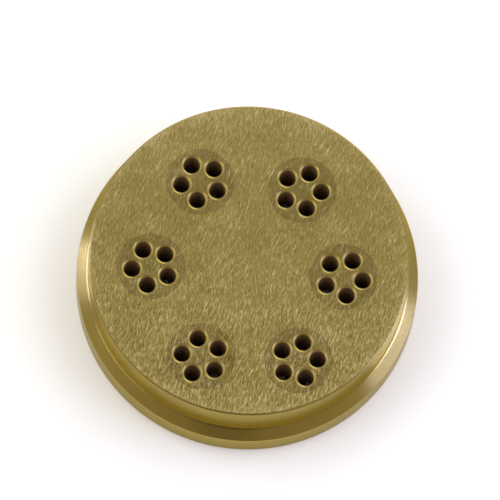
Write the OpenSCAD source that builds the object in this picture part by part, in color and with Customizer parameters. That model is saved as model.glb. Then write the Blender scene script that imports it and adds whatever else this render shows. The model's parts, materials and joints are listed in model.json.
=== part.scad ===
// Pasta extrusion die for a small table-top extruder.
// A turned bronze body carries a ring of flush feed inserts, each turned in one piece with its
// forming pin. Dough enters the countersunk feed holes in the upper face, flows round the pins,
// and leaves the lower face as tubes.
// Millimetres, +Z up, with the origin at the middle of the lower face.

/* [Body] */
// Diameter of the flange that the ring nut clamps
flange_d = 59; // [54:0.5:70]
// Height of the flange's straight rim
flange_h = 5.5; // [4:0.1:9]
// Width of the conical shoulder, from the boss out to the rim
shoulder_w = 1.9; // [1:0.1:3]
// Height of the conical shoulder
shoulder_h = 1.6; // [0.8:0.1:3]
// Height of the boss above the shoulder
boss_h = 8.9; // [7:0.1:14]
// Bevel on the body's outer edges
edge_break = 0.25; // [0.1:0.05:0.5]
// Fillet in the corner between the boss and the shoulder
corner_r = 0.5; // [0.2:0.1:1]

/* [Ring of stations] */
// Metal left between the ring of insert seats and the boss's wall
rim_wall = 2.4; // [1.5:0.1:4]
// Distance from the die's axis to the ring's centre, towards -Y
ring_shift = 2.1; // [0:0.1:2.5]

/* [Feed inserts] */
// Solid core of an insert, inside its feed holes
hub_d = 3.7; // [3.6:0.1:5]
// Diameter of a feed hole
feed_d = 2.9; // [2:0.1:3.1]
// Feed holes in one insert
feed_n = 5; // [3:1:5]
// Width of the countersink round the mouth of a feed hole
feed_sink = 0.35; // [0.1:0.05:0.4]
// Point angle of the drill that cut the countersink
sink_angle = 118; // [90:1:140]
// Thickness of an insert's disc
insert_h = 8; // [6:0.1:10]
// Bevel on an insert's lower edge
insert_break = 0.3; // [0.1:0.05:0.5]
// Radial clearance of an insert in its seat
insert_gap = 0.03; // [0.01:0.01:0.1]

/* [Chambers and outlets] */
// Room between the feed holes and the chamber's wall
chamber_gap = 0.2; // [0.1:0.05:0.5]
// Width of the ledge that an insert sits on
ledge_w = 0.85; // [0.7:0.05:1.5]
// Height of the cone that narrows the chamber to the outlet
throat_h = 1.8; // [0.8:0.1:3]
// Length of the outlet's straight land
land_h = 3; // [1:0.1:4]
// Wall of the tube that leaves the outlet
tube_wall = 1.85; // [1:0.05:2.5]

/* [Forming pins] */
// Diameter of a pin's tip, which is the bore of the tube
tip_d = 3.8; // [3.2:0.1:4.2]
// Diameter of the neck between the tip and the insert's disc
neck_d = 3.2; // [2.6:0.1:3.4]

/* [Hidden] */
$fn = 96;
station_n = 6;

bronze = [0.58, 0.51, 0.29];
dull_bronze = [0.51, 0.45, 0.25];

// How far a cut runs past the face that it opens
cut_over = 1;

flange_r = flange_d / 2;
boss_r = flange_r - shoulder_w;
foot_z = flange_h + shoulder_h;
body_h = foot_z + boss_h;

feed_r = feed_d / 2;
feed_ring_r = hub_d / 2 + feed_r;
mouth_r = feed_r + feed_sink;
sink_h = feed_sink / tan(sink_angle / 2);
chamber_r = feed_ring_r + feed_r + chamber_gap;
insert_r = chamber_r + ledge_w;
seat_r = insert_r + insert_gap;
seat_z = body_h - insert_h;
throat_z = land_h + throat_h;

tip_r = tip_d / 2;
outlet_r = tip_r + tube_wall;
neck_r = neck_d / 2;

// The stations go round from +X, and stray a little from an even spacing as they were
// drilled: degrees ahead of the even angle, and reach as a share of the ring's radius
ring_r = boss_r - rim_wall - seat_r - ring_shift;
ring_start = -2;
seat_lead = [-1, 0, -0.5, -1, 3, 0];
seat_reach = [0.94, 1, 1.05, 0.98, 1, 1.03];

// Degrees that each insert was turned as it was pressed in
seat_turn = [62, 67.5, 44.5, 42.5, 27, 3.5];

function seat_angle(k) = ring_start + 360 / station_n * k + seat_lead[k];

function seat_place(k) =
    [0, -ring_shift] + ring_r * seat_reach[k] * [cos(seat_angle(k)), sin(seat_angle(k))];

module at_station(k) {
    translate(seat_place(k))
        children();
}

// Half section of the solid body. The arc in its corner touches the boss's wall and the shoulder
module body_outline() {
    corner = [boss_r, foot_z];
    up = [0, 1];
    down = [shoulder_w, -shoulder_h] / norm([shoulder_w, shoulder_h]);
    middle = (up + down) / norm(up + down);
    half_angle = acos(up * middle);
    touch = corner_r / tan(half_angle);
    arc_centre = corner + middle * corner_r / sin(half_angle);
    difference() {
        polygon([
            [0, 0],
            [flange_r - edge_break, 0],
            [flange_r, edge_break],
            [flange_r, flange_h - edge_break],
            [flange_r, flange_h] - edge_break * down,
            corner + touch * down,
            arc_centre,
            corner + touch * up,
            [boss_r, body_h - edge_break],
            [boss_r - edge_break, body_h],
            [0, body_h]
        ]);
        translate(arc_centre)
            circle(corner_r);
    }
}

// Stepped passage through the body: outlet land, throat, chamber and insert seat
module passage() {
    rotate_extrude()
        polygon([
            [0, -cut_over],
            [outlet_r, -cut_over],
            [outlet_r, land_h],
            [chamber_r, throat_z],
            [chamber_r, seat_z],
            [seat_r, seat_z],
            [seat_r, body_h + cut_over],
            [0, body_h + cut_over]
        ]);
}

module die_body() {
    color(bronze)
        difference() {
            rotate_extrude()
                body_outline();
            for (k = [0 : station_n - 1])
                at_station(k)
                    passage();
        }
}

// Disc of an insert and its pin as turned: tip in the outlet's land, neck in the chamber
module insert_blank() {
    rotate_extrude()
        polygon([
            [0, 0],
            [tip_r, 0],
            [tip_r, land_h],
            [neck_r, throat_z],
            [neck_r, seat_z],
            [insert_r - insert_break, seat_z],
            [insert_r, seat_z + insert_break],
            [insert_r, body_h],
            [0, body_h]
        ]);
}

// One feed hole through the disc, with its countersunk mouth at the upper face
module feed_hole() {
    rotate_extrude()
        polygon([
            [0, seat_z - cut_over],
            [feed_r, seat_z - cut_over],
            [feed_r, body_h - sink_h],
            [mouth_r, body_h],
            [mouth_r, body_h + cut_over],
            [0, body_h + cut_over]
        ]);
}

module feed_insert(k) {
    color(dull_bronze)
        at_station(k)
            rotate(seat_turn[k])
                difference() {
                    insert_blank();
                    for (i = [0 : feed_n - 1])
                        rotate(360 / feed_n * i)
                            translate([feed_ring_r, 0, 0])
                                feed_hole();
                }
}

die_body();
for (k = [0 : station_n - 1]) {
    feed_insert(k);
}
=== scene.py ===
# Pasta extrusion die: turned bronze body, and flush feed inserts with forming pins below
import json
import math
import bmesh
import bpy
from mathutils import Matrix, Vector


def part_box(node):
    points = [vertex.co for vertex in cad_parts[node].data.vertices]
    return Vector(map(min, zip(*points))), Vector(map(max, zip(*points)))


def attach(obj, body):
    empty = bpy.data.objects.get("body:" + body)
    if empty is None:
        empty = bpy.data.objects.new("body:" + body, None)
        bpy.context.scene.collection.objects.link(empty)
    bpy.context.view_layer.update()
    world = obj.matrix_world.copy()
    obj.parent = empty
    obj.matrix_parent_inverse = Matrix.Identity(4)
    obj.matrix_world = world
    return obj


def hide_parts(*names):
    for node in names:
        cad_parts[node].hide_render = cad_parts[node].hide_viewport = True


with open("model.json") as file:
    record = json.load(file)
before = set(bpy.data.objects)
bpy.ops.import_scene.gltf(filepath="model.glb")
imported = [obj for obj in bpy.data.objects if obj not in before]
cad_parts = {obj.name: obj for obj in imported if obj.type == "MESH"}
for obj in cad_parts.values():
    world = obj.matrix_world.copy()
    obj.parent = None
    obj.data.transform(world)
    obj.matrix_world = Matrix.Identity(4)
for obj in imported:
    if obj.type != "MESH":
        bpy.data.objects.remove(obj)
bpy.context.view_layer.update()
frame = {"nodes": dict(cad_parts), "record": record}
print("frame loaded:", len(frame["nodes"]), "nodes")

mm = 0.001
hair = 1e-6   # slack when places are compared
weld = 1e-7   # vertices closer than this are one
stationCount = 6


# small helpers for shapes

def mountRadius(name):
    for mount in frame["record"]["mounts"]:
        if mount["name"] == name:
            return mount["dims"]["r_mm"] * mm


def spunShape(points, steps):
    # turns a half section of (radius, height) points about the upright axis
    bm = bmesh.new()
    verts = [bm.verts.new((r, 0, z)) for r, z in points]
    edges = [bm.edges.new(pair) for pair in zip(verts, verts[1:])]
    bmesh.ops.spin(bm, geom=verts + edges, cent=(0, 0, 0), axis=(0, 0, 1), angle=math.tau,
                   steps=steps, use_merge=True)
    bmesh.ops.remove_doubles(bm, verts=bm.verts[:], dist=weld)
    rims = [e for e in bm.edges if e.is_boundary]
    if rims:
        bmesh.ops.holes_fill(bm, edges=rims, sides=0)
    bmesh.ops.recalc_face_normals(bm, faces=bm.faces[:])
    return bm


def ringEdges(bm, radius, height):
    # the edges of one turned corner
    def onRing(v):
        return abs(v.co.xy.length - radius) < hair and abs(v.co.z - height) < hair
    return [e for e in bm.edges if all(onRing(v) for v in e.verts)]


def roundRing(bm, radius, height, width, segments=4):
    bmesh.ops.bevel(bm, geom=ringEdges(bm, radius, height), offset=width, offset_type="OFFSET",
                    affect="EDGES", segments=segments, profile=0.5, material=-1)


def copiesAt(bm, places):
    # moves the shape to the first place and leaves a copy at each of the others
    verts = bm.verts[:]
    shape = verts + bm.edges[:] + bm.faces[:]
    for place in places[1:]:
        copied = bmesh.ops.duplicate(bm, geom=shape)["geom"]
        fresh = [g for g in copied if isinstance(g, bmesh.types.BMVert)]
        bmesh.ops.translate(bm, verts=fresh, vec=place)
    bmesh.ops.translate(bm, verts=verts, vec=places[0])


def asObject(bm, name):
    mesh = bpy.data.meshes.new(name)
    bm.to_mesh(mesh)
    bm.free()
    obj = bpy.data.objects.new(name, mesh)
    bpy.context.scene.collection.objects.link(obj)
    return obj


def applied(obj):
    # bakes the live modifiers into the mesh
    bpy.context.view_layer.update()
    graph = bpy.context.evaluated_depsgraph_get()
    mesh = bpy.data.meshes.new_from_object(obj.evaluated_get(graph))
    obj.modifiers.clear()
    obj.data = mesh
    mesh.name = obj.name


def drilled(obj, cutter):
    cut = obj.modifiers.new("drill", "BOOLEAN")
    cut.operation = "DIFFERENCE"
    cut.solver = "EXACT"
    cut.object = cutter
    applied(obj)
    bpy.data.objects.remove(cutter)


def smoothed(obj, sharpDegrees=30):
    # soft shading that keeps flat faces flat and corners crisp
    mesh = obj.data
    mesh.shade_smooth()
    mesh.set_sharp_from_angle(angle=math.radians(sharpDegrees))
    weighted = obj.modifiers.new("weighted", "WEIGHTED_NORMAL")
    weighted.mode = "FACE_AREA"
    weighted.weight = 100
    weighted.keep_sharp = True
    applied(obj)


def finished(obj, materials, finishAt):
    # gives every face the material for its place
    for material in materials:
        obj.data.materials.append(material)
    for face in obj.data.polygons:
        face.material_index = materials.index(finishAt(face.center))


# small helpers for materials

def newMaterial(name):
    material = bpy.data.materials.new(name)
    material.use_nodes = True
    tree = material.node_tree
    return material, tree, tree.nodes["Principled BSDF"]


def node(tree, kind, **settings):
    made = tree.nodes.new(kind)
    for key, value in settings.items():
        setattr(made, key, value)
    return made


def math2(tree, operation, *values):
    made = node(tree, "ShaderNodeMath", operation=operation)
    for socket, value in zip(made.inputs, values):
        if isinstance(value, (int, float)):
            socket.default_value = value
        else:
            tree.links.new(value, socket)
    return made.outputs[0]


def mapRange(tree, value, fromLow, fromHigh, toLow, toHigh):
    made = node(tree, "ShaderNodeMapRange", interpolation_type="SMOOTHSTEP")
    tree.links.new(value, made.inputs["Value"])
    made.inputs["From Min"].default_value = fromLow
    made.inputs["From Max"].default_value = fromHigh
    made.inputs["To Min"].default_value = toLow
    made.inputs["To Max"].default_value = toHigh
    return made.outputs["Result"]


def noise(tree, vector, detail=2.0, roughness=0.5, scale=1.0):
    made = node(tree, "ShaderNodeTexNoise")
    made.inputs["Scale"].default_value = scale
    made.inputs["Detail"].default_value = detail
    made.inputs["Roughness"].default_value = roughness
    tree.links.new(vector, made.inputs["Vector"])
    return made


def mapping(tree, vector, turn=0.0, scale=(1, 1, 1), shift=(0, 0, 0)):
    made = node(tree, "ShaderNodeMapping")
    made.inputs["Rotation"].default_value = (0, 0, math.radians(turn))
    made.inputs["Scale"].default_value = scale
    made.inputs["Location"].default_value = shift
    tree.links.new(vector, made.inputs["Vector"])
    return made.outputs["Vector"]


def ramp(tree, factor, stops):
    made = node(tree, "ShaderNodeValToRGB")
    tree.links.new(factor, made.inputs["Fac"])
    elements = made.color_ramp.elements
    while len(elements) < len(stops):
        elements.new(0.5)
    for element, (place, colour) in zip(elements, stops):
        element.position = place
        element.color = (*colour, 1)
    return made.outputs["Color"]


def axesOf(tree, vector):
    made = node(tree, "ShaderNodeSeparateXYZ")
    tree.links.new(vector, made.inputs[0])
    return made.outputs


def reachOf(tree, coords):
    # distance from the die's axis
    flat = node(tree, "ShaderNodeVectorMath", operation="MULTIPLY")
    tree.links.new(coords, flat.inputs[0])
    flat.inputs[1].default_value = (1, 1, 0)
    reach = node(tree, "ShaderNodeVectorMath", operation="LENGTH")
    tree.links.new(flat.outputs["Vector"], reach.inputs[0])
    return reach.outputs["Value"]


def grooved(tree, shader, height, depth):
    bump = node(tree, "ShaderNodeBump")
    bump.inputs["Strength"].default_value = 1.0
    bump.inputs["Distance"].default_value = depth
    tree.links.new(height, bump.inputs["Height"])
    tree.links.new(bump.outputs["Normal"], shader.inputs["Normal"])


# brushed face: short strokes that lean to the right, wander and cross a little
faceLook = {
    # lean in degrees, strokes per metre across and along, share, shift
    "strokes": [
        (14, 4000, 560, 0.36, 0.0),
        (5, 3700, 1200, 0.26, 31.0),
        (26, 3800, 900, 0.2, 67.0),
        (0, 5200, 3800, 0.18, 11.0),
    ],
    "strokeDetail": (4, 0.66),   # detail and roughness of the noise
    "wander": (160, 1.2 * mm),   # bends per metre, and how far
    "gain": (-27 * mm, 15 * mm, 2.75, 1.5),   # from near to far, stronger on the near side
    "patches": (130, 0.18),   # per metre, and how strong
    "scratches": (24, 3600, 260),   # longer: lean, and number per metre across and along
    "scratchTone": (0.6, 0.78, 0.0, 0.15),   # only the noise's peaks show
    "edgePaling": (25.8 * mm, 27.4 * mm, 0.0, 0.05),   # paler towards the edge
    "far": (8 * mm, 26 * mm, 0.0, 0.03),   # paler towards the far side
    "tones": [
        (0.28, (0.118, 0.089, 0.024)),
        (0.46, (0.232, 0.175, 0.051)),
        (0.54, (0.282, 0.214, 0.068)),
        (0.74, (0.54, 0.45, 0.225)),
    ],
    "roughness": (0.35, 0.65, 0.42, 0.34),   # smoother where the strokes are pale
    "depth": 0.02 * mm,
}
insertDulling = 0.75
insertLook = dict(faceLook)
insertLook["tones"] = [(place, tuple(insertDulling * c for c in tone))
                       for place, tone in faceLook["tones"]]


def brushedBronze(name, look):
    material, tree, shader = newMaterial(name)
    coords = node(tree, "ShaderNodeTexCoord").outputs["Object"]
    farness = axesOf(tree, coords)["Y"]
    middle = 0.5   # noise swings about this

    bends, bendWidth = look["wander"]
    lean = node(tree, "ShaderNodeVectorMath", operation="MULTIPLY_ADD")
    tree.links.new(noise(tree, coords, detail=1, scale=bends).outputs["Color"], lean.inputs[0])
    lean.inputs[1].default_value = (bendWidth, bendWidth, 0)
    tree.links.new(coords, lean.inputs[2])
    path = lean.outputs["Vector"]

    detail, grit = look["strokeDetail"]
    layers = []
    for turn, across, along, share, shift in look["strokes"]:
        leaning = mapping(tree, path, turn=turn)
        spread = mapping(tree, leaning, scale=(across, along, 1), shift=(shift, shift, 0))
        layer = noise(tree, spread, detail=detail, roughness=grit).outputs["Fac"]
        layers.append(math2(tree, "MULTIPLY", layer, share))
    strokes = layers[0]
    for layer in layers[1:]:
        strokes = math2(tree, "ADD", strokes, layer)
    gain = mapRange(tree, farness, *look["gain"])
    strokes = math2(tree, "MULTIPLY_ADD", math2(tree, "SUBTRACT", strokes, middle), gain, middle)

    patchCount, patchTone = look["patches"]
    patches = noise(tree, coords, detail=2, scale=patchCount).outputs["Fac"]
    shade = math2(tree, "MULTIPLY_ADD", math2(tree, "SUBTRACT", patches, middle), patchTone, strokes)
    turn, across, along = look["scratches"]
    course = mapping(tree, mapping(tree, path, turn=turn), scale=(across, along, 1))
    scratches = mapRange(tree, noise(tree, course, detail=1).outputs["Fac"], *look["scratchTone"])
    edgePaling = mapRange(tree, reachOf(tree, coords), *look["edgePaling"])
    far = mapRange(tree, farness, *look["far"])
    for extra in (scratches, edgePaling, far):
        shade = math2(tree, "ADD", shade, extra)

    tree.links.new(ramp(tree, shade, look["tones"]), shader.inputs["Base Color"])
    tree.links.new(mapRange(tree, strokes, *look["roughness"]), shader.inputs["Roughness"])
    grooved(tree, shader, strokes, look["depth"])
    shader.inputs["Metallic"].default_value = 1.0
    return material


# turned walls: fine rings left by the lathe tool, and faint clouds
# painted light: the rim's tones are lighter than the shoulder's, though both are one bronze, to make up
# for the shaded floor that the rim mirrors
rimPaintedLightLook = {
    "rings": 2600,   # per metre
    "tones": [(0.3, (0.425, 0.314, 0.068)), (0.7, (0.512, 0.385, 0.094))],
    "edge": (0.64, 0.62, 0.46),   # tint of grazing reflections
    "metal": 1.0,
    "haze": 0.1,
    "roughness": (0.24, 0.16),
    "depth": 0.004 * mm,
}
shoulderLook = dict(rimPaintedLightLook)
shoulderLook["tones"] = [(0.3, (0.375, 0.278, 0.06)), (0.7, (0.44, 0.332, 0.082))]
shoulderLook["edge"] = (0.76, 0.75, 0.46)
wallLook = dict(shoulderLook)
wallLook["tones"] = [(0.3, (0.375, 0.278, 0.074)), (0.7, (0.44, 0.332, 0.1))]
wallLook["edge"] = (0.76, 0.75, 0.48)
wallLook["roughness"] = (0.27, 0.19)
pinLook = {
    "rings": 3000,
    "tones": [(0.3, (0.34, 0.26, 0.08)), (0.7, (0.42, 0.33, 0.12))],
    "edge": (0.7, 0.62, 0.45),
    "metal": 1.0,
    "haze": 0.1,
    "roughness": (0.32, 0.24),
    "depth": 0.004 * mm,
}
sinkLook = {
    "rings": 9000,
    "tones": [(0.3, (0.3, 0.22, 0.055)), (0.7, (0.385, 0.293, 0.08))],
    "edge": (0.8, 0.75, 0.6),
    "metal": 1.0,
    "haze": 0.1,
    "roughness": (0.4, 0.32),
    "depth": 0.004 * mm,
}
boreLook = {
    "rings": 5200,
    "tones": [(0.3, (0.27, 0.18, 0.09)), (0.7, (0.36, 0.25, 0.13))],
    "edge": (0.8, 0.72, 0.55),
    "metal": 0.25,
    "haze": 0.0,
    "roughness": (0.7, 0.55),
    "depth": 0.006 * mm,
}
turning = {
    "ringDetail": (4.0, 0.7),   # detail and roughness of the noise
    "ringShare": 0.7,
    "clouds": 260,   # per metre
    "cloudShare": 0.3,
    "swing": (0.3, 0.7),   # of rings and clouds together
    "hazeRoughness": 0.25,
}


def turnedBronze(name, look):
    material, tree, shader = newMaterial(name)
    coords = node(tree, "ShaderNodeTexCoord").outputs["Object"]
    height = axesOf(tree, coords)["Z"]
    along = math2(tree, "SUBTRACT", height, reachOf(tree, coords))   # down a wall, then out over a face
    detail, grit = turning["ringDetail"]
    rings = node(tree, "ShaderNodeTexNoise", noise_dimensions="1D")
    rings.inputs["Scale"].default_value = 1.0
    rings.inputs["Detail"].default_value = detail
    rings.inputs["Roughness"].default_value = grit
    tree.links.new(math2(tree, "MULTIPLY", along, look["rings"]), rings.inputs["W"])
    clouds = noise(tree, coords, detail=3, scale=turning["clouds"])
    mixed = math2(tree, "ADD", math2(tree, "MULTIPLY", rings.outputs["Fac"], turning["ringShare"]),
                  math2(tree, "MULTIPLY", clouds.outputs["Fac"], turning["cloudShare"]))
    rough = mapRange(tree, mixed, *turning["swing"], *look["roughness"])
    tree.links.new(ramp(tree, mixed, look["tones"]), shader.inputs["Base Color"])
    tree.links.new(rough, shader.inputs["Roughness"])
    grooved(tree, shader, rings.outputs["Fac"], look["depth"])
    shader.inputs["Metallic"].default_value = look["metal"]
    shader.inputs["Specular Tint"].default_value = (*look["edge"], 1)
    shader.inputs["Coat Weight"].default_value = look["haze"]
    shader.inputs["Coat Roughness"].default_value = turning["hazeRoughness"]
    return material


faceBronze = brushedBronze("faceBronze", faceLook)
insertBronze = brushedBronze("insertBronze", insertLook)
wallBronze = turnedBronze("wallBronze", wallLook)
rimPaintedLightBronze = turnedBronze("rimPaintedLightBronze", rimPaintedLightLook)
shoulderBronze = turnedBronze("shoulderBronze", shoulderLook)
pinBronze = turnedBronze("pinBronze", pinLook)
sinkBronze = turnedBronze("sinkBronze", sinkLook)
boreBronze = turnedBronze("boreBronze", boreLook)
print("materials made")


# places of the stations, from the frame
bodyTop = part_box("die_body")[1].z
seats = []
for k in range(stationCount):
    low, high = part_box(f"feed_insert_{k + 1}")
    centre = (low + high) / 2
    seats.append(Vector((centre.x, centre.y, 0)))


# body
body = {
    "rimRadius": mountRadius("flange_rim"),
    "bossRadius": mountRadius("boss"),
    "rimHeight": 5.5 * mm,
    "shoulderHeight": 1.6 * mm,
    "bevelWidth": 0.28 * mm,   # round the inlet face
    "bevelHeight": 0.24 * mm,
    "rimEdge": 0.12 * mm,
    "lowEdge": 0.25 * mm,
    "bandWidth": 0.35 * mm,   # steeper foot of the boss
    "bandRise": 0.08 * mm,
    "steps": 256,
}
passage = {
    "outletRadius": 3.75 * mm,
    "landHeight": 3 * mm,
    "chamberRadius": 4.95 * mm,
    "throatTop": 4.8 * mm,
    "seatRadius": 5.83 * mm,
    "seatHeight": bodyTop - 8 * mm,
    "over": 1 * mm,   # how far the cut runs past both faces
    "steps": 96,
}
footHeight = body["rimHeight"] + body["shoulderHeight"]
shoulderSlope = body["shoulderHeight"] / (body["rimRadius"] - body["bossRadius"])

bm = spunShape([
    (body["bossRadius"] - body["bevelWidth"], bodyTop),
    (body["bossRadius"], bodyTop - body["bevelHeight"]),
    (body["bossRadius"], footHeight + body["bandRise"]),
    (body["bossRadius"] + body["bandWidth"], footHeight - body["bandWidth"] * shoulderSlope),
    (body["rimRadius"], body["rimHeight"]),
    (body["rimRadius"], 0),
], body["steps"])
roundRing(bm, body["rimRadius"], body["rimHeight"], body["rimEdge"], segments=2)
roundRing(bm, body["rimRadius"], 0, body["lowEdge"])
dieBody = asObject(bm, "dieBody")

bm = spunShape([
    (passage["outletRadius"], -passage["over"]),
    (passage["outletRadius"], passage["landHeight"]),
    (passage["chamberRadius"], passage["throatTop"]),
    (passage["chamberRadius"], passage["seatHeight"]),
    (passage["seatRadius"], passage["seatHeight"]),
    (passage["seatRadius"], bodyTop + passage["over"]),
], passage["steps"])
copiesAt(bm, seats)
drilled(dieBody, asObject(bm, "passages"))
smoothed(dieBody)


def bodyFinish(place):
    if place.z > bodyTop - hair:
        return faceBronze
    fromSeat = min((place.xy - seat.xy).length for seat in seats)
    if place.z > hair and fromSeat < passage["seatRadius"] + hair:
        return boreBronze
    if place.z < body["rimHeight"]:   # the lower face too
        return rimPaintedLightBronze
    if place.z < footHeight:
        return shoulderBronze
    return wallBronze


finished(dieBody, [wallBronze, faceBronze, boreBronze, rimPaintedLightBronze, shoulderBronze], bodyFinish)
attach(dieBody, "root")
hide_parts("die_body")
print("body made:", len(dieBody.data.polygons), "faces")


# feed inserts, each turned in one piece with its pin
insert = {
    "radius": 5.8 * mm,
    "edge": 0.3 * mm,
    "tipRadius": 1.9 * mm,
    "neckRadius": 1.6 * mm,
    "feedRadius": 1.45 * mm,
    "feedRing": 3.3 * mm,
    "sink": 0.35 * mm,
    "sinkAngle": 118,   # of the drill's point
    "feeds": 5,
    "turns": (62, 67.5, 44.5, 42.5, 27, 3.5),   # degrees, one for each insert
    "over": 1 * mm,
    "steps": 128,
    "feedSteps": 64,
}
discLow = passage["seatHeight"]
sinkLow = bodyTop - insert["sink"] / math.tan(math.radians(insert["sinkAngle"] / 2))
mouthRadius = insert["feedRadius"] + insert["sink"]


def insertFinish(place):
    if place.z > bodyTop - hair:
        return insertBronze
    if place.z > sinkLow:
        return sinkBronze
    if place.z > discLow + hair:
        return boreBronze
    return pinBronze


def feedInsert(k):
    bm = spunShape([
        (insert["tipRadius"], 0),
        (insert["tipRadius"], passage["landHeight"]),
        (insert["neckRadius"], passage["throatTop"]),
        (insert["neckRadius"], discLow),
        (insert["radius"], discLow),
        (insert["radius"], bodyTop),
    ], insert["steps"])
    roundRing(bm, insert["radius"], discLow, insert["edge"], segments=1)
    bmesh.ops.translate(bm, verts=bm.verts[:], vec=seats[k])
    made = asObject(bm, f"feedInsert{k + 1}")
    bm = spunShape([
        (insert["feedRadius"], discLow - insert["over"]),
        (insert["feedRadius"], sinkLow),
        (mouthRadius, bodyTop),
        (mouthRadius, bodyTop + insert["over"]),
    ], insert["feedSteps"])
    feeds = []
    for i in range(insert["feeds"]):
        angle = math.radians(insert["turns"][k]) + math.tau * i / insert["feeds"]
        feeds.append(seats[k] + Vector((math.cos(angle), math.sin(angle), 0)) * insert["feedRing"])
    copiesAt(bm, feeds)
    drilled(made, asObject(bm, "feedDrill"))
    smoothed(made)
    finished(made, [insertBronze, sinkBronze, boreBronze, pinBronze], insertFinish)
    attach(made, "root")
    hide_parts(f"feed_insert_{k + 1}")


for k in range(stationCount):
    feedInsert(k)
print("feed inserts made:", stationCount)


# floor
floorLook = {"size": 6.0, "colour": (0.96, 0.96, 0.96, 1), "roughness": 0.9, "shine": 0.0}
bm = bmesh.new()
bmesh.ops.create_grid(bm, x_segments=1, y_segments=1, size=floorLook["size"] / 2)
floor = asObject(bm, "floor")
floorPaint, tree, shader = newMaterial("floorPaint")
shader.inputs["Base Color"].default_value = floorLook["colour"]
shader.inputs["Roughness"].default_value = floorLook["roughness"]
shader.inputs["Specular IOR Level"].default_value = floorLook["shine"]
floor.data.materials.append(floorPaint)
print("floor made")


# lights: soft boxes by azimuth and elevation round the die, and a pale room that is darker in front
softBoxes = [
    {"name": "leftLow", "azimuth": 161, "elevation": 16, "size": (0.5, 0.6),
     "glow": 0.3, "colour": (1.0, 1.0, 1.0)},
    {"name": "leftStrip", "azimuth": 164, "elevation": 2.5, "size": (0.45, 0.1),
     "glow": 5.5, "colour": (0.97, 1.03, 2.8)},
    {"name": "leftWide", "azimuth": 204, "elevation": 4, "size": (0.8, 0.2),
     "glow": 1.2, "colour": (1.0, 1.0, 1.2)},
    {"name": "leftFill", "azimuth": 200, "elevation": 40, "size": (0.6, 0.4),
     "glow": 0.85, "colour": (1.0, 1.0, 1.0)},
    {"name": "rightLow", "azimuth": -14, "elevation": 21, "size": (0.66, 0.88),
     "glow": 0.8, "colour": (0.95, 1.08, 2.8)},
    {"name": "rightStrip", "azimuth": -9, "elevation": 2.5, "size": (0.65, 0.1),
     "glow": 6.2, "colour": (0.95, 1.05, 3.2)},
    {"name": "backLow", "azimuth": 66, "elevation": 14, "size": (0.95, 0.42),
     "glow": 1.9, "colour": (1.0, 1.0, 1.0)},
    {"name": "leftHigh", "azimuth": 168, "elevation": 56, "size": (0.9, 0.7),
     "glow": 2.35, "colour": (1.0, 1.0, 1.0)},
    {"name": "rightHigh", "azimuth": 2, "elevation": 56, "size": (0.9, 0.7),
     "glow": 2.35, "colour": (1.0, 1.0, 1.0)},
]
boxDistance = 1.2
room = {
    "front": 262,   # azimuth of the darkest side
    # colours from the front, 0, to the back, 1
    "tones": [
        (0.0, (0.05, 0.043, 0.037)),
        (0.025, (0.18, 0.155, 0.13)),
        (0.055, (0.41, 0.355, 0.31)),
        (0.14, (0.46, 0.4, 0.35)),
        (0.35, (0.55, 0.5, 0.42)),
        (0.55, (0.62, 0.6, 0.57)),
        (0.675, (0.86, 0.86, 0.86)),
    ],
    "strength": (0.03, 0.3, 0.5, 1.0),   # dimmer low down
}


def fromAngles(azimuth, elevation):
    a = math.radians(azimuth)
    e = math.radians(elevation)
    return Vector((math.cos(a) * math.cos(e), math.sin(a) * math.cos(e), math.sin(e)))


def softBox(look):
    lamp = bpy.data.lights.new(look["name"], "AREA")
    lamp.shape = "RECTANGLE"
    lamp.size, lamp.size_y = look["size"]
    lamp.energy = look["glow"] * math.pi * lamp.size * lamp.size_y
    lamp.color = look["colour"]
    obj = bpy.data.objects.new(look["name"], lamp)
    bpy.context.scene.collection.objects.link(obj)
    way = fromAngles(look["azimuth"], look["elevation"])
    obj.location = way * boxDistance
    obj.rotation_mode = "QUATERNION"
    obj.rotation_quaternion = (-way).to_track_quat("-Z", "Y")
    obj.visible_camera = False


for look in softBoxes:
    softBox(look)

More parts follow.
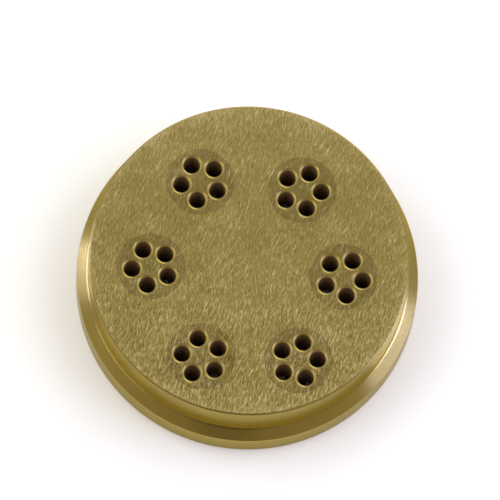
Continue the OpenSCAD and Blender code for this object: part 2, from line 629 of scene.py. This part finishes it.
world = bpy.data.worlds.new("room")
world.use_nodes = True
bpy.context.scene.world = world
tree = world.node_tree
background = tree.nodes["Background"]
way = node(tree, "ShaderNodeTexCoord").outputs["Generated"]
facing = node(tree, "ShaderNodeVectorMath", operation="DOT_PRODUCT")
tree.links.new(way, facing.inputs[0])
facing.inputs[1].default_value = fromAngles(room["front"], 0)
backness = math2(tree, "MULTIPLY_ADD", facing.outputs["Value"], -0.5, 0.5)   # 0 in front, 1 behind
tree.links.new(ramp(tree, backness, room["tones"]), background.inputs["Color"])
strength = mapRange(tree, axesOf(tree, way)["Z"], *room["strength"])
tree.links.new(strength, background.inputs["Strength"])
print("lights made:", len(softBoxes), "soft boxes and the room")


# camera: where the photograph was taken from
shot = {
    "tilt": 15.92,   # degrees off the die's axis
    "azimuth": 263.46,   # the near side, degrees from +X
    "distance": 1.953,
    "faceRadius": 27.35 * mm,
    "facePixels": 159.11,   # the same radius in the picture
    "faceCentre": (249.37, 259.98),
    "imageSide": 500,
    "sensor": 36.0,
    "clip": (0.01, 20),
}
back = fromAngles(shot["azimuth"], 90 - shot["tilt"])
near = fromAngles(shot["azimuth"], 0)
side = Vector((-near.y, near.x, 0))
nearUp = (near - back * near.dot(back)).normalized()   # near direction as the picture shows it
roll = math.radians(shot["azimuth"])   # keeps +X to the right
right = math.cos(roll) * nearUp - math.sin(roll) * side
up = math.sin(roll) * nearUp + math.cos(roll) * side
pixel = shot["faceRadius"] / shot["facePixels"]
offRight = (shot["imageSide"] / 2 - shot["faceCentre"][0]) * pixel
offUp = (shot["faceCentre"][1] - shot["imageSide"] / 2) * pixel
camera = bpy.data.objects.new("camera", bpy.data.cameras.new("camera"))
bpy.context.scene.collection.objects.link(camera)
camera.data.sensor_width = shot["sensor"]
camera.data.lens = shot["sensor"] * shot["distance"] / (shot["imageSide"] * pixel)
camera.data.clip_start, camera.data.clip_end = shot["clip"]
place = Vector((0, 0, bodyTop)) + back * shot["distance"] + right * offRight + up * offUp
turn = Matrix((right, up, back)).transposed().to_4x4()
camera.matrix_world = Matrix.Translation(place) @ turn
bpy.context.scene.camera = camera
bpy.context.scene.view_settings.view_transform = "Standard"
print("camera placed, lens", round(camera.data.lens), "mm")
